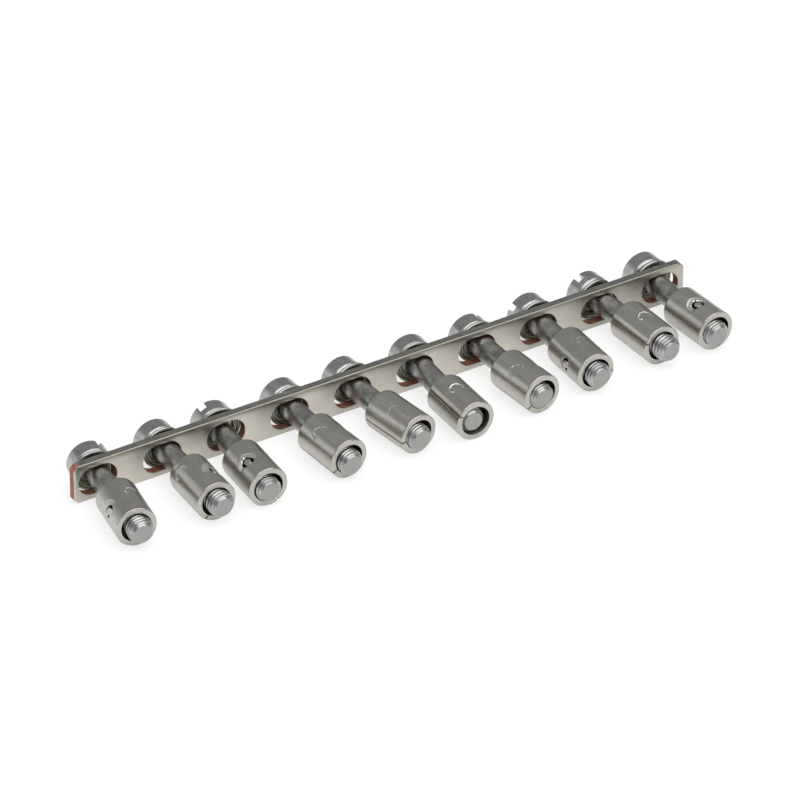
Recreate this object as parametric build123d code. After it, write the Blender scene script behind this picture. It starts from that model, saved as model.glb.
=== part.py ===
from build123d import *
from dataclasses import dataclass
from math import atan2, cos, degrees, radians, sin, sqrt, tan
import os

os.makedirs("parts", exist_ok=True)

# All sizes are in millimetres and all angles in degrees.
# The bar stands on its long edge: +X runs along it, +Z is up, and the screws' tips point to -Y.

# Terminals that the bar bridges
ways = 10
pitch = 8.0

# Flat copper bar, punched and cropped
bar_height = 4.65
bar_thickness = 1.0
slot_length = 4.75
slot_height = 3.3
left_land = 0.52
right_land = 0.78
corner_crop = 0.5
edge_roll = 0.1

# Terminal screw with a cheese head
thread_diameter = 2.95
thread_length = 5.0
neck_diameter = 2.6
screw_length = 13.35
tip_diameter = 2.1
tip_taper = 0.42
head_diameter = 4.75
head_height = 2.1
head_top_edge = 0.2
head_under_edge = 0.4
driver_width = 0.85
driver_depth = 1.0

# Flat washer under the head
washer_diameter = 5.0
washer_bore = 3.2
washer_thickness = 0.35
washer_edge = 0.12
washer_gap = 0.02

# Sleeve rolled from sheet round the thread, with a butt seam and a lanced tongue
sleeve_length = 6.6
sleeve_bore = 3.44
sleeve_wall = 0.62
sleeve_shoulder = 0.35
sleeve_lip = 0.2
seam_gap = 0.12
tongue_back = 2.9
tongue_width = 1.1
tongue_slit = 0.15
tongue_bevel = 0.3
tongue_dent = 0.3

# Least room left between pieces that lie against each other
clearance = 0.025

# Worked out from the sizes above
bar_length = (ways - 1) * pitch + slot_length + left_land + right_land
first_slot = left_land + slot_length / 2 - bar_length / 2
sleeve_diameter = sleeve_bore + 2 * sleeve_wall
bore_play = (sleeve_bore - thread_diameter) / 2 - clearance
washer_play = (washer_bore - neck_diameter) / 2 - clearance


@dataclass
class Lie:
    """How one loose screw, its washer and its sleeve have come to rest."""

    side: float  # neck to the right of its slot's middle, at the bar's front face
    yaw: float  # tip swung to the right
    seat: float  # from the bar's back face to the underside of the head
    lift: float  # head above the surface
    turn: float  # driver slot, from upright to the right
    slide: float  # tip out beyond the sleeve's front edge
    lean: float  # where the thread lies in the bore, from the bottom to the right
    swing: float  # sleeve swung further to the right than its screw
    roll: float  # tongue, from the top of the sleeve to the right
    shift: float  # washer to the right of its neck


lies = [
    Lie(0.25, -7.0, 0.70, 0.15, 36, 1.40, 73, -3.5, -68, -0.10),
    Lie(0.75, -0.2, 0.60, 0.15, 65, 1.30, 75, -3.3, 34, 0.10),
    Lie(-0.30, -5.8, 0.66, 0.05, -28, 0.60, -10, 1.8, -33, 0.15),
    Lie(0.55, 1.0, 0.45, 0.15, 75, 0.95, -13, 2.0, 63, 0.10),
    Lie(0.65, 4.6, 0.60, 0.10, 60, 0.85, -50, 2.4, 83, 0.20),
    Lie(0.90, -3.9, 0.56, 0.03, 70, -0.10, -70, 2.4, 120, -0.10),
    Lie(0.80, 1.4, 0.50, 0.10, 33, 0.58, -55, 2.6, 58, 0.00),
    Lie(0.55, 0.6, 0.65, 0.15, -56, 0.95, 45, -2.6, -82, 0.10),
    Lie(0.70, 6.5, 0.85, 0.25, -24, 1.45, 65, -4.0, 113, -0.10),
    Lie(-0.15, 1.5, 0.80, 0.30, 55, 0.90, -60, 2.5, -15, 0.20),
]


def jumper_bar():
    """Strip with cropped corners and a row of round-ended slots, its front edges rolled by the punch."""
    outline = Rectangle(bar_length, bar_height, align=(Align.CENTER, Align.MIN))
    outline = chamfer(outline.vertices(), corner_crop)
    for place in range(ways):
        slot_centre = (first_slot + place * pitch, bar_height / 2)
        outline -= Pos(*slot_centre) * SlotOverall(slot_length, slot_height)
    front = Plane(origin=(0, -bar_thickness / 2, 0), x_dir=(1, 0, 0), z_dir=(0, -1, 0))
    bar = extrude(front * outline, -bar_thickness)
    front_edges = bar.faces().sort_by(Axis.Y)[0].edges()
    return fillet(front_edges, edge_roll)


def screw():
    """Screw along +Z with the underside of its head at the origin and its tip up."""
    head = Cylinder(head_diameter / 2, head_height, align=(Align.CENTER, Align.CENTER, Align.MAX))
    head = fillet(head.edges().sort_by(Axis.Z)[0], head_top_edge)
    head = fillet(head.edges().sort_by(Axis.Z)[-1], head_under_edge)
    on_end = (Align.CENTER, Align.CENTER, Align.MIN)
    driver_slot = Box(head_diameter, driver_width, driver_depth, align=on_end)
    head -= Pos(0, 0, -head_height) * driver_slot

    thread_start = screw_length - thread_length
    runout = (thread_diameter - neck_diameter) / 2
    neck = Cylinder(neck_diameter / 2, thread_start, align=on_end)
    runout_cone = Cone(neck_diameter / 2, thread_diameter / 2, runout, align=on_end)
    thread = Cylinder(thread_diameter / 2, thread_length - runout - tip_taper, align=on_end)
    tip = Cone(thread_diameter / 2, tip_diameter / 2, tip_taper, align=on_end)
    return (
        head
        + neck
        + Pos(0, 0, thread_start) * runout_cone
        + Pos(0, 0, thread_start + runout) * thread
        + Pos(0, 0, screw_length - tip_taper) * tip
    )


def washer():
    """Flat ring along +Z, lying under a head at the origin, with its far rim rounded."""
    ring = Circle(washer_diameter / 2) - Circle(washer_bore / 2)
    plate = extrude(ring, washer_thickness)
    rims = plate.edges().group_by(Axis.Z)[-1]
    plate = fillet(rims.sort_by(SortBy.RADIUS)[-1], washer_edge)
    return Pos(0, 0, washer_gap) * plate


def sleeve():
    """Tube along +Z with its front edge at the origin, its tongue to +X and its seam opposite."""
    tube = extrude(Circle(sleeve_diameter / 2) - Circle(sleeve_bore / 2), -sleeve_length)
    back_rims = tube.edges().group_by(Axis.Z)[0]
    tube = fillet(back_rims.sort_by(SortBy.RADIUS)[-1], sleeve_shoulder)
    front_rims = tube.edges().group_by(Axis.Z)[-1]
    tube = fillet(front_rims.sort_by(SortBy.RADIUS)[-1], sleeve_lip)
    seam = Box(sleeve_diameter, seam_gap, sleeve_length, align=(Align.MAX, Align.CENTER, Align.MAX))
    return tube - seam - lance()


def lance():
    """Cutter of the tongue: a slit through the wall round its end, and a bevel pressed in beside the slit."""
    outward = Plane(origin=(0, 0, -tongue_back), x_dir=(0, 0, 1), z_dir=(1, 0, 0))
    tongue_end = tongue_width / 2
    slit_edge = tongue_end + tongue_slit
    bevel_edge = slit_edge + tongue_bevel
    wall_top = sleeve_diameter / 2
    dent_floor = wall_top - tongue_dent
    behind = Pos(-bevel_edge, 0) * Rectangle(2 * bevel_edge, 2 * bevel_edge)
    tongue = Circle(tongue_end) + Pos(bevel_edge / 2, 0) * Rectangle(bevel_edge, tongue_width)
    slit = (Circle(slit_edge) - tongue) & behind
    slit_tool = extrude(outward * slit, sleeve_diameter / 2)
    bevel = loft([
        outward * Pos(0, 0, dent_floor) * (Circle(slit_edge) & behind),
        outward * Pos(0, 0, wall_top) * (Circle(bevel_edge) & behind),
    ])
    bevel_tool = bevel - extrude(outward * tongue, sleeve_diameter / 2)
    return slit_tool + bevel_tool


def heading(yaw, dip):
    """Unit vector to -Y, swung to the right by yaw and raised by dip."""
    yaw, dip = radians(yaw), radians(dip)
    return Vector(sin(yaw) * cos(dip), -cos(yaw) * cos(dip), sin(dip))


def axis_plane(origin, yaw, dip):
    """Plane whose normal runs along a piece's axis, with its own X as near to upright as it can be."""
    along = heading(yaw, dip)
    right = Vector(cos(radians(yaw)), sin(radians(yaw)), 0)
    return Plane(origin=origin, x_dir=along.cross(right), z_dir=along)


def unit_places(number, lie):
    """Where one screw, its washer and its sleeve lie on the surface and in their slot."""
    # The sleeve's front edge, and the thread's place in its bore there
    slot_x = first_slot + (number - 1) * pitch
    under_y = bar_thickness / 2 + lie.seat
    under_x = slot_x + lie.side - tan(radians(lie.yaw)) * (bar_thickness + lie.seat)
    to_front = screw_length - lie.slide
    front_x = under_x + to_front * sin(radians(lie.yaw)) - bore_play * sin(radians(lie.lean))
    front_y = under_y - to_front * cos(radians(lie.yaw))
    sleeve_axis = sleeve_diameter / 2
    thread_axis = sleeve_axis - bore_play * cos(radians(lie.lean))

    # The screw slopes down to that place from its head, which its washer holds up where that is much wider
    carried = max(head_diameter / 2, washer_diameter / 2 - washer_play)
    head_axis = carried + lie.lift
    slope = (thread_axis - head_axis) / (to_front + head_height / 2)
    under_z = head_axis + slope * head_height / 2
    dip = degrees(atan2(slope, 1))
    screw_place = axis_plane((under_x, under_y, under_z), lie.yaw, dip).location

    # The washer hangs down to the surface, or as far as its bore lets it
    drop = min(under_z - washer_diameter / 2, sqrt(washer_play**2 - lie.shift**2))
    sleeve_place = axis_plane((front_x, front_y, sleeve_axis), lie.yaw + lie.swing, 0).location
    return {
        "screw": screw_place * Rot(0, 0, -lie.turn),
        "washer": screw_place * Pos(-drop, -lie.shift, 0),
        "sleeve": sleeve_place * Rot(0, 0, -lie.roll),
    }


export_step(jumper_bar(), "parts/jumper_bar.step")
kinds = {"screw": screw(), "washer": washer(), "sleeve": sleeve()}
for number, lie in enumerate(lies[:ways], start=1):
    for name, place in unit_places(number, lie).items():
        export_step(place * kinds[name], f"parts/{name}_{number:02d}.step")
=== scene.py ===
import bpy
import bmesh
import math
from mathutils import Matrix, Vector


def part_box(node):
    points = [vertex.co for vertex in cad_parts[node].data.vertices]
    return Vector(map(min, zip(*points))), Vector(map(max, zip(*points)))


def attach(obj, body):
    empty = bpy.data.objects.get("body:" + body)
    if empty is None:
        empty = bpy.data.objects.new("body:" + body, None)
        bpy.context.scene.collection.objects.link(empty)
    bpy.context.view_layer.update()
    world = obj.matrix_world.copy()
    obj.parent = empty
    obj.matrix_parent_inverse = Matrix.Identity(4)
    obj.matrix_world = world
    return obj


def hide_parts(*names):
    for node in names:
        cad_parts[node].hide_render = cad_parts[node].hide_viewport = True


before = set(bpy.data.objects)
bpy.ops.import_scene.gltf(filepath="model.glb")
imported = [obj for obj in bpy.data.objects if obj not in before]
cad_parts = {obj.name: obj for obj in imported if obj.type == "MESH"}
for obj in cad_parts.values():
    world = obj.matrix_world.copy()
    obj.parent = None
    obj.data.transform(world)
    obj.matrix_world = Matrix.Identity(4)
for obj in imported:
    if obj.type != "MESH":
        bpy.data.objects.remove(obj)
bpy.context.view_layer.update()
mm = 0.001
ways = 10
sleeveRadius = 2.34
tongueBack = 2.75   # from a sleeve's front to the middle of its tongue's round end
barLow, barHigh = (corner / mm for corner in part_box("jumper_bar"))
print("frame loaded:", len(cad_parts), "nodes")


# Camera: long lens, looking down on the bar from the tips' side
cameraSizes = {
    "azimuth": -32.0,
    "elevation": 33.117,
    "distance": 912.2,
    "viewWidth": 87.03,   # mm across the picture at the aim point
    "aimX": 0.779,
    "aimY": -2.343,
    "aimZ": 0.667,
    "sensor": 36.0,
}


def makeCamera(sizes):
    azimuth, elevation = math.radians(sizes["azimuth"]), math.radians(sizes["elevation"])
    back = Vector((
        math.sin(azimuth) * math.cos(elevation),
        -math.cos(azimuth) * math.cos(elevation),
        math.sin(elevation),
    ))
    right = Vector((math.cos(azimuth), math.sin(azimuth), 0))
    up = back.cross(right)
    aim = Vector((sizes["aimX"], sizes["aimY"], sizes["aimZ"]))
    data = bpy.data.cameras.new("camera")
    data.sensor_width = sizes["sensor"]
    data.lens = sizes["sensor"] * sizes["distance"] / sizes["viewWidth"]
    data.clip_start, data.clip_end = 0.01, 50
    camera = bpy.data.objects.new("camera", data)
    turn = Matrix((right, up, back)).transposed().to_4x4()
    camera.matrix_world = Matrix.Translation((aim + back * sizes["distance"]) * mm) @ turn
    bpy.context.scene.collection.objects.link(camera)
    bpy.context.scene.camera = camera


makeCamera(cameraSizes)
print("camera placed")


# Small helpers for node trees
def addNode(tree, kind, values=None, **settings):
    node = tree.nodes.new(kind)
    for key, value in settings.items():
        setattr(node, key, value)
    for key, value in (values or {}).items():
        if isinstance(value, bpy.types.NodeSocket):
            tree.links.new(value, node.inputs[key])
        else:
            node.inputs[key].default_value = value
    return node


def calc(tree, operation, *values):
    values = {place: value for place, value in enumerate(values)}
    return addNode(tree, "ShaderNodeMath", values, operation=operation).outputs[0]


def plus(tree, first, second):
    return calc(tree, "ADD", first, second)


def minus(tree, first, second):
    return calc(tree, "SUBTRACT", first, second)


def times(tree, *factors):
    product = factors[0]
    for factor in factors[1:]:
        product = calc(tree, "MULTIPLY", product, factor)
    return product


def lengthOf(tree, across, along):
    # Length of a straight line with these two parts
    return calc(tree, "SQRT", plus(tree, times(tree, across, across), times(tree, along, along)))


def remap(tree, value, fromLow, fromHigh, toLow, toHigh, blend="SMOOTHSTEP"):
    values = {"Value": value, "From Min": fromLow, "From Max": fromHigh, "To Min": toLow, "To Max": toHigh}
    return addNode(tree, "ShaderNodeMapRange", values, interpolation_type=blend).outputs["Result"]


def rise(tree, value, low, high):
    # 0 up to low, and 1 from high on
    return remap(tree, value, low, high, 0, 1)


def fall(tree, value, low, high, blend="SMOOTHSTEP"):
    # 1 up to low, and 0 from high on
    return remap(tree, value, low, high, 1, 0, blend)


def splitParts(tree, vector):
    return addNode(tree, "ShaderNodeSeparateXYZ", {0: vector}).outputs


def vectorOf(tree, x=0.0, y=0.0, z=0.0):
    return addNode(tree, "ShaderNodeCombineXYZ", {"X": x, "Y": y, "Z": z}).outputs[0]


def positionOf(tree):
    return addNode(tree, "GeometryNodeInputPosition").outputs[0]


def compare(tree, first, operation, second):
    values = {"A": first, "B": second}
    return addNode(tree, "FunctionNodeCompare", values, data_type="FLOAT", operation=operation).outputs[0]


def joined(tree, *parts):
    whole = addNode(tree, "GeometryNodeJoinGeometry")
    for part in parts:
        tree.links.new(part, whole.inputs[0])
    return whole.outputs[0]


def moved(tree, geometry, place):
    return addNode(tree, "GeometryNodeSetPosition", {"Geometry": geometry, "Position": place}).outputs[0]


def storeVector(tree, geometry, name, value):
    values = {"Geometry": geometry, "Name": name, "Value": value}
    settings = {"data_type": "FLOAT_VECTOR", "domain": "POINT"}
    return addNode(tree, "GeometryNodeStoreNamedAttribute", values, **settings).outputs[0]


def newTree(name, sizes, *vectors):
    # Its inputs are the piece's sizes and vectors, where it lies and what it is made of
    tree = bpy.data.node_groups.new(name, "GeometryNodeTree")
    inputs = {label: "Float" for label in sizes}
    inputs.update({label: "Vector" for label in vectors})
    inputs.update({"Place": "Vector", "Rotation": "Rotation", "Material": "Material"})
    for label, kind in inputs.items():
        tree.interface.new_socket(name=label, in_out="INPUT", socket_type="NodeSocket" + kind)
    tree.interface.new_socket(name="Geometry", in_out="OUTPUT", socket_type="NodeSocketGeometry")
    return tree, tree.nodes.new("NodeGroupInput").outputs


def closeTree(tree, geometry, given):
    # Keeps the place along the piece's own axis, lays the piece, and ends in a plain mesh with its material
    marked = storeVector(tree, geometry, "own", positionOf(tree))
    values = {"Geometry": marked, "Translation": given["Place"], "Rotation": given["Rotation"]}
    laid = addNode(tree, "GeometryNodeTransform", values)
    real = addNode(tree, "GeometryNodeRealizeInstances", {"Geometry": laid.outputs[0]})
    values = {"Geometry": real.outputs[0], "Material": given["Material"]}
    coated = addNode(tree, "GeometryNodeSetMaterial", values)
    addNode(tree, "NodeGroupOutput", {"Geometry": coated.outputs[0]})


def smoothBut(tree, geometry, sharpAngle, softFrom=None, softTo=None):
    # Smooth faces, with the edges past sharpAngle kept sharp, but none between two heights
    values = {"Geometry": geometry, "Shade Smooth": True}
    smooth = addNode(tree, "GeometryNodeSetShadeSmooth", values, domain="FACE")
    angle = addNode(tree, "GeometryNodeInputMeshEdgeAngle").outputs[0]
    sharp = compare(tree, angle, "GREATER_THAN", math.radians(sharpAngle))
    if softFrom is not None:
        height = splitParts(tree, positionOf(tree))["Z"]
        below = compare(tree, height, "LESS_THAN", softFrom)
        above = compare(tree, height, "GREATER_THAN", softTo)
        atEnds = addNode(tree, "FunctionNodeBooleanMath", {0: below, 1: above}, operation="OR").outputs[0]
        sharp = addNode(tree, "FunctionNodeBooleanMath", {0: sharp, 1: atEnds}, operation="AND").outputs[0]
    values = {"Geometry": smooth.outputs[0], "Selection": sharp, "Shade Smooth": False}
    return addNode(tree, "GeometryNodeSetShadeSmooth", values, domain="EDGE").outputs[0]


def makePiece(name, tree, values, replaced):
    carrier = bpy.data.objects.new(name + "Carrier", bpy.data.meshes.new(name + "Carrier"))
    bpy.context.scene.collection.objects.link(carrier)
    modifier = carrier.modifiers.new("shape", "NODES")
    modifier.node_group = tree
    for item in tree.interface.items_tree:
        if item.in_out == "INPUT":
            modifier[item.identifier] = values[item.name]
    graph = bpy.context.evaluated_depsgraph_get()
    mesh = bpy.data.meshes.new_from_object(carrier.evaluated_get(graph), depsgraph=graph)
    carrier.modifiers.clear()
    bpy.data.objects.remove(carrier)
    mesh.transform(Matrix.Scale(mm, 4))
    mesh.name = name
    piece = bpy.data.objects.new(name, mesh)
    bpy.context.scene.collection.objects.link(piece)
    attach(piece, "root")
    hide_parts(replaced)


# Where each loose piece lies, read from its solid in the frame
def axisOf(nodeName):
    # Its direction from the flat faces across it, its ends' middles from their widest places
    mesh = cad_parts[nodeName].data
    along = Vector((0, -1, 0))
    for limit in (0.9, 0.9995):   # roughly, then closely
        flats = [face for face in mesh.polygons if face.normal.dot(along) > limit]
        along = sum((face.normal * face.area for face in flats), Vector()).normalized()
    points = [vertex.co / mm for vertex in mesh.vertices]
    right = along.cross(Vector((0, 0, 1))).normalized()
    rimDepth = 0.005
    ends = []
    for side in (1, -1):
        far = max(side * point.dot(along) for point in points)
        rim = [point for point in points if side * point.dot(along) > far - rimDepth]
        middle = along * (side * far)
        for axis in (right, right.cross(along)):
            places = [point.dot(axis) for point in rim]
            middle += axis * (max(places) + min(places)) / 2
        ends.append(middle)
    return ends[0], ends[1], along


def layAlong(along, turn):
    up = (Vector((0, 0, 1)) - along * along.z).normalized()
    lie = Matrix((up, along.cross(up), along)).transposed()
    return (lie @ Matrix.Rotation(math.radians(-turn), 3, "Z")).to_euler()


# Metals
def startMetal(name):
    material = bpy.data.materials.new(name)
    material.use_nodes = True
    shader = material.node_tree.nodes["Principled BSDF"]
    shader.inputs["Metallic"].default_value = 1.0
    return material, material.node_tree, shader


def framePlace(tree):
    # Place in the frame, in metres
    return addNode(tree, "ShaderNodeTexCoord").outputs["Object"]


def stored(tree, name, output="Vector"):
    # What a piece carries, such as own: the place on the piece itself, in mm, with Z along its axis
    return addNode(tree, "ShaderNodeAttribute", attribute_name=name).outputs[output]


def grain(tree, coordinates, scale, detail=4.0, stretch=(1, 1, 1), roughness=0.55):
    stretched = addNode(tree, "ShaderNodeMapping", {"Vector": coordinates, "Scale": stretch})
    values = {"Vector": stretched.outputs[0], "Scale": scale, "Detail": detail, "Roughness": roughness}
    return addNode(tree, "ShaderNodeTexNoise", values).outputs["Fac"]


def satin(tree, place, scale, low, high):
    # Roughness that wanders between low and high
    return remap(tree, grain(tree, place, scale), 0.3, 0.7, low, high)


def tint(tree, factor, low, high, dark, light):
    ramp = addNode(tree, "ShaderNodeValToRGB", {"Fac": factor})
    ramp.color_ramp.elements[0].position, ramp.color_ramp.elements[0].color = low, (*dark, 1)
    ramp.color_ramp.elements[1].position, ramp.color_ramp.elements[1].color = high, (*light, 1)
    return ramp.outputs["Color"]


def mixColor(tree, factor, first, second):
    node = addNode(tree, "ShaderNodeMix", {"Factor": factor}, data_type="RGBA")
    for place, color in (("A", first), ("B", second)):
        socket = [one for one in node.inputs if one.name == place and one.type == "RGBA"][0]
        if isinstance(color, bpy.types.NodeSocket):
            tree.links.new(color, socket)
        else:
            socket.default_value = (*color, 1)
    return [one for one in node.outputs if one.type == "RGBA"][0]


def addBump(tree, shader, height, distance):
    bump = addNode(tree, "ShaderNodeBump", {"Height": height, "Distance": distance * mm})
    tree.links.new(bump.outputs[0], shader.inputs["Normal"])


zincLook = {
    "dark": (0.345, 0.35, 0.345),
    "light": (0.45, 0.455, 0.445),
    "clouds": {"scale": 1.6, "detail": 5, "stretch": (1, 1, 0.35)},
    "cloudRange": (0.35, 0.65),
    "neckDark": (0.25, 0.255, 0.245),
    "neckLight": (0.47, 0.475, 0.46),
    "blotches": {"scale": 900, "detail": 5, "roughness": 0.65},
    "blotchRange": (0.36, 0.64),
    "neckStart": (-0.1, 0.2),   # mm from the underside of the head
    "neckEnd": (8.2, 8.6),
    "cutEnd": (0.355, 0.36, 0.345),
    "cutStart": (13.32, 13.34),
    "cutRoughness": 0.15,   # more than the rest
    "satinScale": 1500,
    "roughness": (0.27, 0.36),
    "speckleScale": 3500,
    "relief": 0.002,
}


def makeZinc(look):
    # Screws: satin zinc, faintly cloudy, blotched on the neck, duller where the end was cut off
    material, tree, shader = startMetal("zincSteel")
    place, own = framePlace(tree), stored(tree, "own")
    height = splitParts(tree, own)["Z"]
    clouds = grain(tree, own, **look["clouds"])
    color = tint(tree, clouds, *look["cloudRange"], look["dark"], look["light"])
    blotches = grain(tree, place, **look["blotches"])
    blotched = tint(tree, blotches, *look["blotchRange"], look["neckDark"], look["neckLight"])
    onNeck = times(tree, rise(tree, height, *look["neckStart"]), fall(tree, height, *look["neckEnd"]))
    color = mixColor(tree, onNeck, color, blotched)
    cut = rise(tree, height, *look["cutStart"])
    tree.links.new(mixColor(tree, cut, color, look["cutEnd"]), shader.inputs["Base Color"])
    rough = satin(tree, place, look["satinScale"], *look["roughness"])
    rough = calc(tree, "MULTIPLY_ADD", cut, look["cutRoughness"], rough)
    tree.links.new(rough, shader.inputs["Roughness"])
    addBump(tree, shader, grain(tree, place, look["speckleScale"]), look["relief"])
    return material


washerShadeLook = {
    # Face colours: darkened as painted shade behind the bar
    "dark": (0.09, 0.10, 0.07),
    "light": (0.36, 0.37, 0.295),
    "ribs": {"Scale": 1.05, "Distortion": 0.8, "Detail": 2.0},
    "cloudScale": 1200,
    "cloudRange": (0.25, 0.75),
    "rim": (0.43, 0.435, 0.42),
    "rimRadius": (2.34, 2.42),
    "roughness": 0.34,
    "ribHeight": 0.03,
}


def makeWasherSteel(look):
    # Washers: the face painted dark greenish grey as shade where it sits behind the bar, with fine ribs round
    # it, and a plain rim
    material, tree, shader = startMetal("washerSteelPaintedShade")
    shader.inputs["Roughness"].default_value = look["roughness"]
    own = stored(tree, "own")
    parts = splitParts(tree, own)
    values = dict(look["ribs"], Vector=own)
    ribs = addNode(tree, "ShaderNodeTexWave", values, wave_type="RINGS", rings_direction="Z").outputs["Fac"]
    clouds = times(tree, grain(tree, framePlace(tree), look["cloudScale"]), 0.5)
    halves = calc(tree, "MULTIPLY_ADD", ribs, 0.5, clouds)
    # Painted shade: the ribbed face is coloured dark greenish grey, as it lies in the bar's shade
    face = tint(tree, halves, *look["cloudRange"], look["dark"], look["light"])
    onRim = rise(tree, lengthOf(tree, parts["X"], parts["Y"]), *look["rimRadius"])
    tree.links.new(mixColor(tree, onRim, face, look["rim"]), shader.inputs["Base Color"])
    addBump(tree, shader, times(tree, ribs, minus(tree, 1.0, onRim)), look["ribHeight"])
    return material


nickelLook = {
    "dark": (0.43, 0.42, 0.385),
    "light": (0.51, 0.498, 0.458),
    "streaks": {"scale": 3, "stretch": (1, 1, 0.06)},
    "streakRange": (0.25, 0.75),
    "stain": (0.32, 0.305, 0.275),
    "stainScale": 600,
    "stainRange": (0.6, 0.8),
    "stainMost": 0.35,
    "seam": (0.30, 0.23, 0.17),
    "seamDirt": (math.pi - 0.16, math.pi - 0.03),   # angles from the tongue
    "dirtScale": 1500,
    # slit: near-black painted shade inside the slit round the tongue
    "slit": (0.03, 0.03, 0.028),
    "slitRadius": (2.08, 2.22),
    "slitSide": 1.5,      # out from the axis
    "slitMiddle": 3.0,    # back from the front
    "slitReach": 1.0,
    # dish: painted highlight, the light that the dish's slopes catch
    "dish": (0.72, 0.71, 0.67),
    "dishMargin": 0.05,
    "dishBlur": 0.1,
    "dishFront": (-0.5, 0.1),
    "dishInner": (0.55, 0.65),
    "satinScale": 1800,
    "roughness": (0.29, 0.36),
    "drawn": {"scale": 5, "detail": 3, "stretch": (1, 1, 0.06)},
    "drawnHeight": 0.003,
    "speckles": {"scale": 3500, "detail": 2},
    "speckleHeight": 0.0007,
}
markSizes = {
    # a worn line, painted lighter still as the highlight its ridge catches
    "wornHighlight": (0.72, 0.71, 0.68),
    "radius": 0.8,
    "width": 0.2,
    "openSide": (-0.5, -0.1),
    "wornScale": 2200,
    "wornRange": (0.35, 0.6),
    "wornLeast": 0.35,
    "height": 0.11,
}


def slitShadeMask(tree, look, parts):
    # Painted shade in the slit: deep in the wall, on the tongue's side and away from both ends
    deep = fall(tree, lengthOf(tree, parts["X"], parts["Y"]), *look["slitRadius"])
    side = calc(tree, "GREATER_THAN", parts["X"], look["slitSide"])
    off = calc(tree, "ABSOLUTE", plus(tree, parts["Z"], look["slitMiddle"]))
    return times(tree, deep, side, calc(tree, "LESS_THAN", off, look["slitReach"]))


def dishHighlightMask(tree, look, parts):
    # The dish behind the tongue's end, on the unrolled surface, painted light as the highlight its sloped rim
    # catches, by each sleeve's share
    press = splitParts(tree, stored(tree, "press"))
    arc = times(tree, calc(tree, "ARCTAN2", parts["Y"], parts["X"]), sleeveRadius)
    behind = times(tree, plus(tree, parts["Z"], tongueBack), -1.0)
    away = lengthOf(tree, arc, behind)
    edge = minus(tree, press["Y"], look["dishMargin"])
    within = fall(tree, away, minus(tree, edge, look["dishBlur"]), edge)
    front, inner = rise(tree, behind, *look["dishFront"]), rise(tree, away, *look["dishInner"])
    return times(tree, within, front, inner, press["Z"])


def markMask(tree, sizes, parts, angle):
    # The line of a tool's mark at each side: most of a circle, open towards the front and worn in places
    mark = splitParts(tree, stored(tree, "mark"))
    across = times(tree, minus(tree, angle, calc(tree, "RADIANS", mark["X"])), sleeveRadius)
    behind = times(tree, plus(tree, parts["Z"], mark["Y"]), -1.0)
    offLine = calc(tree, "ABSOLUTE", minus(tree, lengthOf(tree, across, behind), sizes["radius"]))
    line = fall(tree, offLine, 0, sizes["width"])
    openSide = rise(tree, behind, *sizes["openSide"])
    worn = grain(tree, framePlace(tree), sizes["wornScale"])
    left = remap(tree, worn, *sizes["wornRange"], sizes["wornLeast"], 1)
    return times(tree, line, openSide, mark["Z"], left)


def makeNickel(look):
    # Sleeves: nickel on drawn sheet, faintly streaked along the axis, with dirt in the seam
    material, tree, shader = startMetal("nickelSleeve")
    place, own = framePlace(tree), stored(tree, "own")
    parts = splitParts(tree, own)
    angle = calc(tree, "ABSOLUTE", calc(tree, "ARCTAN2", parts["Y"], parts["X"]))
    streaks = grain(tree, own, **look["streaks"])
    color = tint(tree, streaks, *look["streakRange"], look["dark"], look["light"])
    stains = remap(tree, grain(tree, place, look["stainScale"]), *look["stainRange"], 0, look["stainMost"])
    color = mixColor(tree, stains, color, look["stain"])
    dirt = times(tree, rise(tree, angle, *look["seamDirt"]), grain(tree, place, look["dirtScale"]))
    color = mixColor(tree, dirt, color, look["seam"])
    # Painted highlight on the dish round the tongue
    color = mixColor(tree, dishHighlightMask(tree, look, parts), color, look["dish"])
    # Painted shade: the slit and the wall inside it are coloured near black
    color = mixColor(tree, slitShadeMask(tree, look, parts), color, look["slit"])
    mark = markMask(tree, markSizes, parts, angle)
    # The mark's line is painted light: worn bright, with a painted highlight for its ridge
    tree.links.new(mixColor(tree, mark, color, markSizes["wornHighlight"]), shader.inputs["Base Color"])
    rough = satin(tree, place, look["satinScale"], *look["roughness"])
    tree.links.new(rough, shader.inputs["Roughness"])

    drawn = grain(tree, own, **look["drawn"])
    speckles = grain(tree, place, **look["speckles"])
    height = calc(tree, "MULTIPLY_ADD", drawn, look["drawnHeight"], times(tree, mark, markSizes["height"]))
    height = calc(tree, "MULTIPLY_ADD", speckles, look["speckleHeight"], height)
    addBump(tree, shader, height, 1.0)
    return material


barLook = {
    "platingDark": (0.53, 0.50, 0.443),
    "platingLight": (0.605, 0.572, 0.51),
    "streaks": {"scale": 350, "stretch": (0.3, 1, 1)},
    "streakRange": (0.3, 0.7),
    "darkerRight": (0.44, 0.417, 0.372),
    "darkerRightAlong": (12 * mm, 36 * mm),
    "darkerRightMost": 0.9,
    # painted reflection: an olive band darkening the top of the face
    "reflectedOlive": (0.36, 0.365, 0.30),
    "oliveHeight": (4.1 * mm, 4.8 * mm),
    "oliveMost": 0.7,
    "oliveScale": 250,
    "oliveUneven": 0.7 * mm,
    "sheared": (0.31, 0.30, 0.28),
    "copper": (0.42, 0.165, 0.11),
    "tarnish": (0.27, 0.105, 0.07),
    "copperScale": 1500,
    "copperRange": (0.35, 0.65),
    "raggedScale": 1800,
    "ragged": 0.25,
    "raggedRange": (0.4, 0.6),
    "satinScale": 1200,
    "roughness": (0.28, 0.4),
    "copperRoughness": 0.25,   # more than the plating
    "copperMetallic": -0.7,
    "strokes": {"scale": 1400, "detail": 3, "stretch": (0.2, 1, 1)},
    "strokeHeight": 0.004,
}


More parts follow.
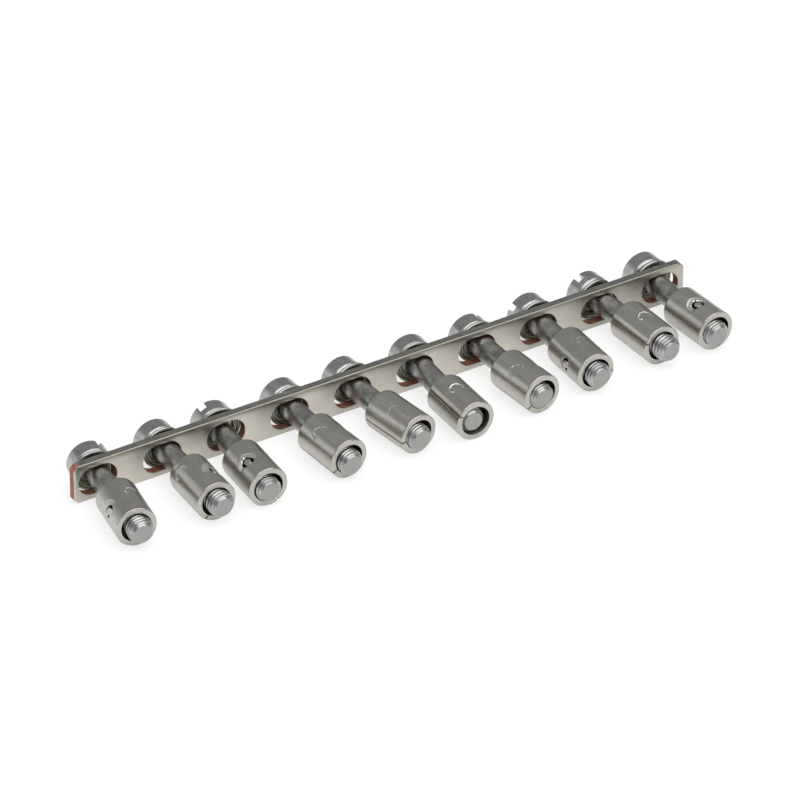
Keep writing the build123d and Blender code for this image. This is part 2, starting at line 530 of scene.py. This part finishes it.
def makePlatedCopper(look):
    # Bar: tin over copper, duller on its sheared edges, with bare copper where it was punched
    material, tree, shader = startMetal("platedCopper")
    place = framePlace(tree)
    parts = splitParts(tree, place)
    streaks = grain(tree, place, **look["streaks"])
    color = tint(tree, streaks, *look["streakRange"], look["platingDark"], look["platingLight"])
    # Darker towards the right end of the bar, growing from 12 mm to 36 mm along it
    darkerRight = remap(tree, parts["X"], *look["darkerRightAlong"], 0, look["darkerRightMost"])
    color = mixColor(tree, darkerRight, color, look["darkerRight"])
    # Painted reflection: darker olive along the top of the face, for what it mirrors there
    patches = grain(tree, place, look["oliveScale"])
    uneven = calc(tree, "MULTIPLY_ADD", patches, look["oliveUneven"], parts["Z"])
    reflectedOlive = remap(tree, uneven, *look["oliveHeight"], 0, look["oliveMost"])
    color = mixColor(tree, reflectedOlive, color, look["reflectedOlive"])

    # The bar carries where it is sheared and where it is bare, and the limits of both are ragged
    spread = grain(tree, place, look["raggedScale"])
    ragged = remap(tree, spread, 0, 1, -look["ragged"], look["ragged"], "LINEAR")
    sheared, bare = (
        rise(tree, plus(tree, stored(tree, label, "Fac"), ragged), *look["raggedRange"])
        for label in ("sheared", "bare")
    )
    copper = grain(tree, place, look["copperScale"])
    copper = tint(tree, copper, *look["copperRange"], look["tarnish"], look["copper"])
    color = mixColor(tree, bare, mixColor(tree, sheared, color, look["sheared"]), copper)
    tree.links.new(color, shader.inputs["Base Color"])
    rough = satin(tree, place, look["satinScale"], *look["roughness"])
    rough = calc(tree, "MULTIPLY_ADD", bare, look["copperRoughness"], rough)
    tree.links.new(rough, shader.inputs["Roughness"])
    metallic = calc(tree, "MULTIPLY_ADD", bare, look["copperMetallic"], 1.0)
    tree.links.new(metallic, shader.inputs["Metallic"])
    addBump(tree, shader, grain(tree, place, **look["strokes"]), look["strokeHeight"])
    return material


zincSteel = makeZinc(zincLook)
washerSteelPaintedShade = makeWasherSteel(washerShadeLook)
nickelSleeve = makeNickel(nickelLook)
platedCopper = makePlatedCopper(barLook)
print("metals made")


# Bar: punched from strip, so its front edges are rolled over, wide on the outside and small round the slots
barSizes = {
    "slotLength": 4.75,
    "slotHeight": 3.3,
    "pitch": 8.0,
    "leftLand": 0.52,
    "cornerCrop": 0.5,
    "outerRoll": (0.42, 0.13),   # how far in and how deep
    "slotRoll": (0.12, 0.08),
    "rollSteps": 8,
    "wallEdge": 0.04,
    "arcPoints": 24,
    "step": 0.5,
    "bareEnd": 0.05,        # bare this far past the left crop
    "slotMargin": 0.02,
    "landMargin": 0.3,      # no slot this near the ends
    "sharpAngle": 40,
}


def slotOutline(sizes, middleX, middleZ, inset):
    # Stadium, larger where the inset goes into the metal
    radius, half = sizes["slotHeight"] / 2 + inset, (sizes["slotLength"] - sizes["slotHeight"]) / 2
    points = []
    for side, start in ((1, -90), (-1, 90)):
        for step in range(sizes["arcPoints"] + 1):
            angle = math.radians(start + 180 * step / sizes["arcPoints"])
            x = middleX + side * half + radius * math.cos(angle)
            points.append((x, middleZ + radius * math.sin(angle)))
    return points


def barOutline(sizes, inset):
    # Rectangle with cropped corners, pulled in by the inset
    left, right, bottom, top = barLow.x + inset, barHigh.x - inset, barLow.z + inset, barHigh.z - inset
    crop = sizes["cornerCrop"] - inset * (2 - math.sqrt(2))
    corners = [
        (left, bottom + crop), (left + crop, bottom), (right - crop, bottom), (right, bottom + crop),
        (right, top - crop), (right - crop, top), (left + crop, top), (left, top - crop),
    ]
    steps = [round(length / sizes["step"]) for length in (barHigh.x - barLow.x, barHigh.z - barLow.z)]
    counts = [1, steps[0], 1, steps[1]]
    points = []
    for side, (x, z) in enumerate(corners):
        nextX, nextZ = corners[(side + 1) % len(corners)]
        count = counts[side % len(counts)]
        points += [(x + (nextX - x) * part / count, z + (nextZ - z) * part / count) for part in range(count)]
    return points


def rolledWall(shape, outline, roll, sizes):
    # Rings over the rolled edge and through the wall to the back; gives the edges of the first and the last
    wide, deep = roll
    levels = []
    for step in range(sizes["rollSteps"] + 1):
        angle = math.radians(90 * step / sizes["rollSteps"])
        levels.append((wide * (1 - math.sin(angle)), barLow.y + deep * (1 - math.cos(angle)), 0))
    for y in (barLow.y + deep + sizes["wallEdge"], barHigh.y - sizes["wallEdge"]):
        levels.append((0, y, 1))
    levels.append((0, barHigh.y, 0))
    rings = []
    for inset, y, wall in levels:
        ring = [shape.verts.new((x, y, z)) for x, z in outline(inset)]
        for vertex in ring:
            vertex[shape.verts.layers.float["sheared"]] = wall
        rings.append(ring)
    for near, far in zip(rings, rings[1:]):
        for place in range(len(near)):
            after = (place + 1) % len(near)
            shape.faces.new((near[place], near[after], far[after], far[place]))
    return [
        [shape.edges.get((ring[place - 1], ring[place])) for place in range(len(ring))]
        for ring in (rings[0], rings[-1])
    ]


def makeBar(sizes):
    middleZ = (barLow.z + barHigh.z) / 2
    firstSlot = barLow.x + sizes["leftLand"] + sizes["slotLength"] / 2
    shape = bmesh.new()
    sheared = shape.verts.layers.float.new("sheared")
    bare = shape.verts.layers.float.new("bare")
    front, back = rolledWall(shape, lambda inset: barOutline(sizes, inset), sizes["outerRoll"], sizes)
    for place in range(ways):
        middleX = firstSlot + place * sizes["pitch"]
        slot = lambda inset: slotOutline(sizes, middleX, middleZ, inset)
        near, far = rolledWall(shape, slot, sizes["slotRoll"], sizes)
        front += near
        back += far
    for edges in (front, back):
        bmesh.ops.triangle_fill(shape, edges=edges, use_beauty=True)
    bmesh.ops.recalc_face_normals(shape, faces=shape.faces)

    # Bare copper on the walls of the slots, the left end and the cropped corners there
    leftLimit = barLow.x + sizes["cornerCrop"] + sizes["bareEnd"]
    slotReach = sizes["slotHeight"] / 2 + sizes["slotMargin"]
    slotsFrom, slotsTo = barLow.x + sizes["landMargin"], barHigh.x - sizes["landMargin"]
    for vertex in shape.verts:
        place = vertex.co
        inSlot = abs(place.z - middleZ) < slotReach and slotsFrom < place.x < slotsTo
        vertex[bare] = vertex[sheared] if inSlot or place.x < leftLimit else 0.0
    for face in shape.faces:
        face.smooth = True
    for edge in shape.edges:
        edge.smooth = edge.calc_face_angle(0) < math.radians(sizes["sharpAngle"])
    mesh = bpy.data.meshes.new("platedBar")
    shape.to_mesh(mesh)
    shape.free()
    mesh.materials.append(platedCopper)
    mesh.transform(Matrix.Scale(mm, 4))
    piece = bpy.data.objects.new("platedBar", mesh)
    bpy.context.scene.collection.objects.link(piece)
    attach(piece, "root")
    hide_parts("jumper_bar")


makeBar(barSizes)
print("bar made")


# Screws: turned head with a milled driver slot, smooth neck, rolled thread
screwSizes = {
    "Head Radius": 2.375,
    "Head Height": 2.1,
    "Top Edge": 0.2,
    "Under Edge": 0.4,
    "Driver Width": 0.85,
    "Driver Depth": 1.0,
    "Driver Length": 6.0,   # the cutter's, past the head on both sides
    "Neck Radius": 1.3,
    "Neck Sunk": 0.3,       # into the head
    "Thread Radius": 1.475,
    "Thread Depth": 0.23,
    "Thread Pitch": 0.5,
    "Thread Length": 5.0,
    "Length": 13.35,
    "Tip Radius": 1.05,
    "Tip Slope": 0.2,
    "Tip Crest": 0.02,      # the thread's crests at the very tip
    "Grown Crest": 0.3,     # and where they have grown back
    "Crest Growth": 0.4,
}
screwGrid = {"headAround": 80, "headRows": 26, "gather": 0.8, "around": 64, "neckRows": 4, "threadRows": 150}
driverTurns = (36, 65, -28, 75, 60, 70, 33, -56, -24, 55)


def roundedEnd(tree, distance, edge):
    # How far a rim rounded by edge falls back at a distance from the end
    short = calc(tree, "MAXIMUM", minus(tree, edge, distance), 0)
    inside = minus(tree, times(tree, edge, edge), times(tree, short, short))
    return minus(tree, edge, calc(tree, "SQRT", inside))


def gathered(tree, value, share):
    # Draws grid lines in -1 to 1 together at the middle and at both ends
    wave = calc(tree, "SINE", times(tree, value, 2 * math.pi))
    return minus(tree, value, times(tree, wave, share / (2 * math.pi)))


def turned(tree, around, rows, length, start, radiusRule, gather=0.0):
    # Rod along +Z from start, whose radius follows a rule of height and angle
    values = {"Vertices": around, "Side Segments": rows, "Fill Segments": 1, "Radius": 1.0, "Depth": 2.0}
    rod = addNode(tree, "GeometryNodeMeshCylinder", values, fill_type="NGON").outputs["Mesh"]
    parts = splitParts(tree, positionOf(tree))
    share = gathered(tree, parts["Z"], gather) if gather else parts["Z"]
    height = times(tree, calc(tree, "MULTIPLY_ADD", share, 0.5, 0.5), length)
    radius = radiusRule(height, calc(tree, "ARCTAN2", parts["Y"], parts["X"]))
    x, y = times(tree, parts["X"], radius), times(tree, parts["Y"], radius)
    return moved(tree, rod, vectorOf(tree, x, y, plus(tree, height, start)))


def screwTree(grid):
    tree, given = newTree("turnedScrew", screwSizes)

    def headRule(height, angle):
        top = roundedEnd(tree, height, given["Top Edge"])
        under = roundedEnd(tree, minus(tree, given["Head Height"], height), given["Under Edge"])
        return minus(tree, given["Head Radius"], plus(tree, top, under))

    def neckRule(height, angle):
        return given["Neck Radius"]

    def threadRule(height, angle):
        # A narrow groove that climbs one pitch in a turn, fades out into the neck and ends in the tip's taper
        climbed = calc(tree, "DIVIDE", height, given["Thread Pitch"])
        turns = minus(tree, climbed, calc(tree, "DIVIDE", angle, 2 * math.pi))
        wave = calc(tree, "PINGPONG", times(tree, calc(tree, "FRACT", turns), 2.0), 1.0)
        fromCrest = minus(tree, 1.0, wave)
        crest = calc(tree, "SQRT", minus(tree, 1.0, times(tree, fromCrest, fromCrest)))
        root = minus(tree, given["Thread Radius"], given["Thread Depth"])
        full = calc(tree, "MULTIPLY_ADD", crest, given["Thread Depth"], root)
        run = rise(tree, height, 0.0, given["Thread Pitch"])
        risen = minus(tree, full, given["Neck Radius"])
        threaded = calc(tree, "MULTIPLY_ADD", risen, run, given["Neck Radius"])
        left = minus(tree, given["Thread Length"], height)
        taper = calc(tree, "MULTIPLY_ADD", left, given["Tip Slope"], given["Tip Radius"])
        growth = remap(tree, left, 0, given["Crest Growth"], given["Tip Crest"], given["Grown Crest"])
        return calc(tree, "MINIMUM", threaded, calc(tree, "MULTIPLY_ADD", crest, growth, taper))

    topZ = times(tree, given["Head Height"], -1.0)
    headSizes = (grid["headAround"], grid["headRows"], given["Head Height"], topZ)
    head = turned(tree, *headSizes, headRule, grid["gather"])
    driverDepth = times(tree, given["Driver Depth"], 2.0)
    milled = vectorOf(tree, given["Driver Length"], given["Driver Width"], driverDepth)
    cutter = addNode(tree, "GeometryNodeMeshCube", {"Size": milled}).outputs["Mesh"]
    values = {"Geometry": cutter, "Translation": vectorOf(tree, z=topZ)}
    cutter = addNode(tree, "GeometryNodeTransform", values).outputs[0]
    slotted = addNode(tree, "GeometryNodeMeshBoolean", {0: head}, operation="DIFFERENCE", solver="EXACT")
    tree.links.new(cutter, slotted.inputs[1])
    neckLength = minus(tree, given["Length"], given["Thread Length"])
    sunkLength, neckStart = plus(tree, neckLength, given["Neck Sunk"]), times(tree, given["Neck Sunk"], -1.0)
    neck = turned(tree, grid["around"], grid["neckRows"], sunkLength, neckStart, neckRule)
    threadSizes = (grid["around"], grid["threadRows"], given["Thread Length"], neckLength)
    thread = turned(tree, *threadSizes, threadRule)
    whole = joined(tree, slotted.outputs[0], neck, thread)
    tipZ = minus(tree, given["Length"], 0.02)
    closeTree(tree, smoothBut(tree, whole, 35, given["Under Edge"], tipZ), given)
    return tree


def makeScrews():
    tree = screwTree(screwGrid)
    for number, turn in enumerate(driverTurns, start=1):
        tip, top, along = axisOf(f"screw_{number:02d}")
        under = tip - along * screwSizes["Length"]
        values = dict(screwSizes, Place=under, Rotation=layAlong(along, turn), Material=zincSteel)
        makePiece(f"terminalScrew{number:02d}", tree, values, f"screw_{number:02d}")


makeScrews()
print("screws made")


# Washers: flat rings with softened corners
washerSizes = {
    "Outer Radius": 2.5,
    "Inner Radius": 1.6,
    "Thickness": 0.35,
    "Corner": 0.15,
}
washerGrid = {"around": 96, "corner": 6}


def washerTree(grid):
    tree, given = newTree("flatRing", washerSizes)
    outer, inner = given["Outer Radius"], given["Inner Radius"]
    values = {"Resolution": grid["around"], "Radius": times(tree, plus(tree, outer, inner), 0.5)}
    path = addNode(tree, "GeometryNodeCurvePrimitiveCircle", values)
    values = {"Width": minus(tree, outer, inner), "Height": given["Thickness"]}
    section = addNode(tree, "GeometryNodeCurvePrimitiveQuadrilateral", values)
    values = {"Curve": section.outputs[0], "Radius": given["Corner"], "Count": grid["corner"]}
    softened = addNode(tree, "GeometryNodeFilletCurve", values, mode="POLY")
    values = {"Curve": path.outputs[0], "Profile Curve": softened.outputs[0]}
    ring = addNode(tree, "GeometryNodeCurveToMesh", values)
    closeTree(tree, smoothBut(tree, ring.outputs[0], 40), given)
    return tree


def makeWashers():
    tree = washerTree(washerGrid)
    for number in range(1, ways + 1):
        front, back, along = axisOf(f"washer_{number:02d}")
        middle = (front + back) / 2
        values = dict(washerSizes, Place=middle, Rotation=layAlong(along, 0), Material=washerSteelPaintedShade)
        makePiece(f"headWasher{number:02d}", tree, values, f"washer_{number:02d}")


makeWashers()
print("washers made")


# Sleeves: a blank rolled up to a butt seam, with a tongue lanced in the middle of it
sleeveSizes = {
    "Outer Radius": sleeveRadius,
    "Wall": 0.62,
    "Length": 6.6,
    "Seam Gap": 0.12,
    "Lip": 0.12,
    "Shoulder": 0.35,
    "Seam Edge": 0.12,
    "Tongue Back": tongueBack,
    "Tongue Radius": 0.52,
    "Tongue Edge": 0.1,
    "Tongue Sink": 0.04,
    "Slit": 0.24,
    "Slit Edge": 0.12,
    "Slit Depth": 0.58,
    "Dish Edge": 0.25,
    "Fade Start": 0.1,      # ahead of the tongue's round end nothing is pressed in
    "Fade End": 0.6,
    "Facet": 0.02,
}
sleeveGrid = {"around": 133, "rows": 89, "gather": 0.7}
facetWaves = ((7.0, 0.0, 1.0), (11.0, 1.3, 0.6))   # how many go round, where they start and their share
tongueRolls = (-68, 36, -29, 63, 83, 120, 58, -82, 113, -11)
pressShapes = [   # depth and radius of the dish round the tongue, and how strong its painted highlight is
    (0.05, 1.35, 0.15), (0.06, 1.7, 1.0), (0.055, 1.35, 0.55), (0.05, 1.35, 0.3), (0.05, 1.35, 0.3),
    (0.05, 1.35, 0.3), (0.05, 1.35, 0.3), (0.02, 1.1, 0.05), (0.05, 1.35, 0.3), (0.06, 1.35, 0.75),
]
pressMarks = [   # angle from the tongue, distance from the front, strength
    (91, 3.6, 0.9), (87, 4.8, 0.5), (100, 3.5, 0.2), (96, 3.7, 0.45), (109, 2.9, 0.12),
    (125, 3.7, 1.0), (89, 3.2, 0.3), (95, 3.4, 0.4), (113, 3.1, 1.0), (100, 3.5, 0.3),
]


def doubledSheet(tree, grid):
    # Flat sheet from -1 to 1 both ways, with its outside at 1 and its inside at 0
    values = {"Size X": 2.0, "Size Y": 2.0, "Vertices X": grid["around"], "Vertices Y": grid["rows"]}
    sheet = addNode(tree, "GeometryNodeMeshGrid", values).outputs["Mesh"]
    under = addNode(tree, "GeometryNodeFlipFaces", {"Mesh": sheet}).outputs[0]
    values = {"Mesh": sheet, "Offset": (0, 0, 1), "Offset Scale": 1.0, "Individual": False}
    over = addNode(tree, "GeometryNodeExtrudeMesh", values, mode="FACES").outputs["Mesh"]
    values = {"Geometry": joined(tree, under, over), "Distance": 0.0001}
    return addNode(tree, "GeometryNodeMergeByDistance", values).outputs[0]


def pressedIn(tree, given, arc, forward):
    # A slit round the tongue's end, a shallow dish round the slit, and the end itself sunk a little
    away = lengthOf(tree, arc, forward)
    slitEnd = plus(tree, given["Tongue Radius"], given["Slit"])
    behind = fall(tree, forward, given["Fade Start"], given["Fade End"])
    press = splitParts(tree, given["Press"])
    rim = minus(tree, press["Y"], given["Dish Edge"])
    dish = times(tree, press["X"], fall(tree, away, rim, press["Y"]))
    tongueEdge = minus(tree, given["Tongue Radius"], given["Tongue Edge"])
    onTongue = fall(tree, away, tongueEdge, given["Tongue Radius"], "LINEAR")
    slitEdge = minus(tree, slitEnd, given["Slit Edge"])
    slit = times(tree, fall(tree, away, slitEdge, slitEnd, "LINEAR"), given["Slit Depth"])
    cut = times(tree, calc(tree, "MAXIMUM", dish, slit), minus(tree, 1.0, onTongue))
    return times(tree, plus(tree, cut, times(tree, onTongue, given["Tongue Sink"])), behind)


def rolledFacets(tree, given, angle):
    # Soft lengthwise facets left by the rolls, none of them above the sleeve's radius
    facets = -sum(share for count, start, share in facetWaves)
    for count, start, share in facetWaves:
        wave = calc(tree, "SINE", calc(tree, "MULTIPLY_ADD", angle, count, start))
        facets = calc(tree, "MULTIPLY_ADD", wave, share, facets)
    return times(tree, facets, times(tree, given["Facet"], 0.5))


def sleeveTree(grid):
    tree, given = newTree("rolledSleeve", sleeveSizes, "Press", "Mark")
    blank = doubledSheet(tree, grid)

    # Across the blank is the angle, along it the axis, and through it the wall
    parts = splitParts(tree, positionOf(tree))
    seam = calc(tree, "DIVIDE", times(tree, given["Seam Gap"], 0.5), given["Outer Radius"])
    angle = times(tree, gathered(tree, parts["X"], grid["gather"]), minus(tree, math.pi, seam))
    backShare = minus(tree, given["Length"], given["Tongue Back"])
    ahead = compare(tree, parts["Y"], "GREATER_THAN", 0.0)
    values = {"Switch": ahead, "False": backShare, "True": given["Tongue Back"]}
    share = addNode(tree, "GeometryNodeSwitch", values, input_type="FLOAT").outputs[0]
    forward = times(tree, gathered(tree, parts["Y"], grid["gather"]), share)
    axial = minus(tree, forward, given["Tongue Back"])
    arc = times(tree, angle, given["Outer Radius"])

    lip = roundedEnd(tree, times(tree, axial, -1.0), given["Lip"])
    shoulder = roundedEnd(tree, plus(tree, axial, given["Length"]), given["Shoulder"])
    fromSeam = minus(tree, math.pi * sleeveRadius, calc(tree, "ABSOLUTE", arc))
    ends = plus(tree, plus(tree, lip, shoulder), roundedEnd(tree, fromSeam, given["Seam Edge"]))
    rolled = plus(tree, given["Outer Radius"], rolledFacets(tree, given, angle))
    outer = minus(tree, rolled, plus(tree, pressedIn(tree, given, arc, forward), ends))
    bore = minus(tree, given["Outer Radius"], given["Wall"])
    radius = remap(tree, parts["Z"], 0, 1, bore, outer, "LINEAR")
    x, y = times(tree, radius, calc(tree, "COSINE", angle)), times(tree, radius, calc(tree, "SINE", angle))
    tube = moved(tree, blank, vectorOf(tree, x, y, axial))
    for name, label in (("mark", "Mark"), ("press", "Press")):
        tube = storeVector(tree, tube, name, given[label])
    closeTree(tree, smoothBut(tree, tube, 50), given)
    return tree


def makeSleeves():
    tree = sleeveTree(sleeveGrid)
    for number, (roll, press, mark) in enumerate(zip(tongueRolls, pressShapes, pressMarks), start=1):
        front, back, along = axisOf(f"sleeve_{number:02d}")
        values = dict(sleeveSizes, Press=press, Mark=mark)
        values.update(Place=front, Rotation=layAlong(along, roll), Material=nickelSleeve)
        makePiece(f"rolledSleeve{number:02d}", tree, values, f"sleeve_{number:02d}")


makeSleeves()
print("sleeves made")


# Studio: white floor, a wide softbox overhead, a low card behind on the left, and a dim room
studioSizes = {
    "floorSize": 8.0,
    "floorColor": 0.25,      # what the camera sees
    "floorGlow": 0.745,
    "mirroredColor": 0.48,   # what the metals see
    "mirroredGlow": 0.5,
    "roomGlow": 0.33,
    "roomFill": 0.55,
}
lightPanels = {
    "overheadSoftbox": {"place": (0.15, -0.35, 0.75), "facing": (0, 0, 1), "size": (1.3, 1.3), "watts": 9.6},
    "lowCard": {"place": (-0.666, 0.559, 0.233), "size": (0.48, 0.32), "watts": 0.42},
}


def seenDirectly(tree):
    # 1 for rays from the camera and off shiny faces
    path = addNode(tree, "ShaderNodeLightPath").outputs
    shiny = calc(tree, "MAXIMUM", path["Is Glossy Ray"], path["Is Transmission Ray"])
    return calc(tree, "MAXIMUM", path["Is Camera Ray"], shiny)


def makeFloor(sizes):
    mesh = bpy.data.meshes.new("paleFloor")
    half = sizes["floorSize"] / 2
    corners = [(-half, -half, 0), (half, -half, 0), (half, half, 0), (-half, half, 0)]
    mesh.from_pydata(corners, [], [(0, 1, 2, 3)])
    floor = bpy.data.objects.new("paleFloor", mesh)
    bpy.context.scene.collection.objects.link(floor)
    material = bpy.data.materials.new("palePaper")
    material.use_nodes = True
    tree = material.node_tree
    tree.nodes.clear()
    facing = addNode(tree, "ShaderNodeLightPath").outputs["Is Camera Ray"]
    color = remap(tree, facing, 0, 1, sizes["mirroredColor"], sizes["floorColor"])
    paper = addNode(tree, "ShaderNodeBsdfDiffuse", {"Color": color})
    strength = remap(tree, facing, 0, 1, sizes["mirroredGlow"], sizes["floorGlow"])
    glow = addNode(tree, "ShaderNodeEmission", {"Strength": times(tree, seenDirectly(tree), strength)})
    both = addNode(tree, "ShaderNodeAddShader", {0: paper.outputs[0], 1: glow.outputs[0]})
    addNode(tree, "ShaderNodeOutputMaterial", {"Surface": both.outputs[0]})
    mesh.materials.append(material)


def makePanels():
    for name, sizes in lightPanels.items():
        data = bpy.data.lights.new(name, "AREA")
        data.shape, data.energy = "RECTANGLE", sizes["watts"]
        data.size, data.size_y = sizes["size"]
        light = bpy.data.objects.new(name, data)
        light.location = sizes["place"]
        facing = Vector(sizes.get("facing", sizes["place"]))
        light.rotation_euler = facing.to_track_quat("Z", "Y").to_euler()
        bpy.context.scene.collection.objects.link(light)


def makeRoom(sizes):
    world = bpy.data.worlds.new("studio")
    bpy.context.scene.world = world
    world.use_nodes = True
    tree = world.node_tree
    tree.nodes.clear()
    strength = remap(tree, seenDirectly(tree), 0, 1, sizes["roomFill"], sizes["roomGlow"], "LINEAR")
    room = addNode(tree, "ShaderNodeBackground", {"Color": (1, 1, 1, 1), "Strength": strength})
    addNode(tree, "ShaderNodeOutputWorld", {"Surface": room.outputs[0]})


makeFloor(studioSizes)
makePanels()
makeRoom(studioSizes)
bpy.context.scene.view_settings.view_transform = "Standard"
print("studio lit")
